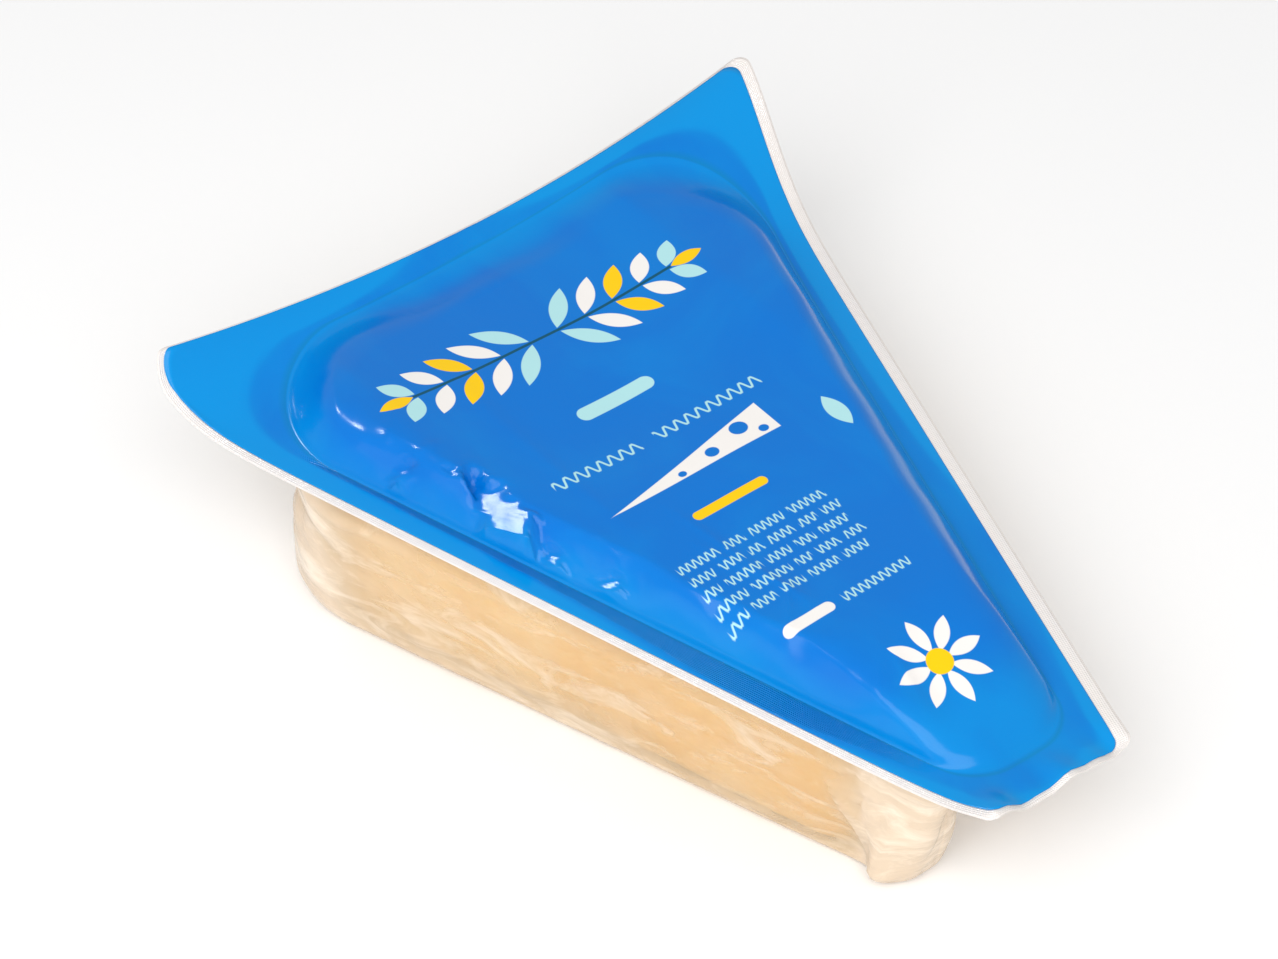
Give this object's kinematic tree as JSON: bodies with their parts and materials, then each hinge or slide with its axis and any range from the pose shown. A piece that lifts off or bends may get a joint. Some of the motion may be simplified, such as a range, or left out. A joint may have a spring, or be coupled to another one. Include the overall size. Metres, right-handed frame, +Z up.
{
  "type": "vacuum-packed cheese wedge",
  "caption": "Wedge of hard cheese vacuum-packed in a clear formed film with a printed blue lid film heat-sealed round its edge.",
  "frame": {"origin": "centre of the overall box in plan, at the flat underside it stands on", "axes": "+X from the wide back edge to the narrow tip, +Z up through the lid, +Y towards the far long edge"},
  "size_m": [0.2072, 0.1718, 0.0626],
  "materials": {
    "cheese": "moist, satin, pale yellow",
    "clear_film": "clear, slightly milky, glossy",
    "printed_film": "glossy blue print on film"
  },
  "bodies": {
    "root": {"cheese_wedge": "cheese", "bottom_film": "clear_film", "top_film": "printed_film"}
  },
  "joints": []
}
